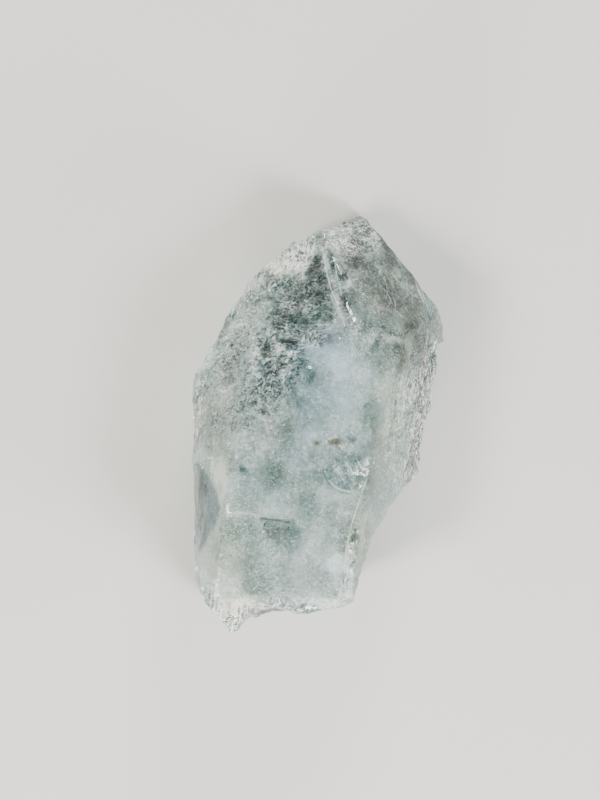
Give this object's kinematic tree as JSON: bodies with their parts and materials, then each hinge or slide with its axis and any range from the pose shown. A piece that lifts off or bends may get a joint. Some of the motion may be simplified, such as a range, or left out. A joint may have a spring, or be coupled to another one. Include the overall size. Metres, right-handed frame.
{
  "type": "aquamarine crystal",
  "caption": "Pale blue-green six-sided crystal of clear beryl with a slanting tip, long striated faces, rough broken foot and shoulder, and cloudy flaws inside.",
  "frame": {"origin": "middle of the underside of the crystal's box, on the surface that it lies on", "axes": "+Y along the long c axis, from the broken foot to the tip; +Z out of the wide front face; +X towards the splintered ridge"},
  "size_m": [0.0272, 0.0478, 0.019],
  "materials": {
    "aquamarine": "clear beryl, glassy on the grown faces and frosted on the breaks"
  },
  "bodies": {
    "root": {"aquamarine_crystal": "aquamarine"}
  },
  "joints": []
}
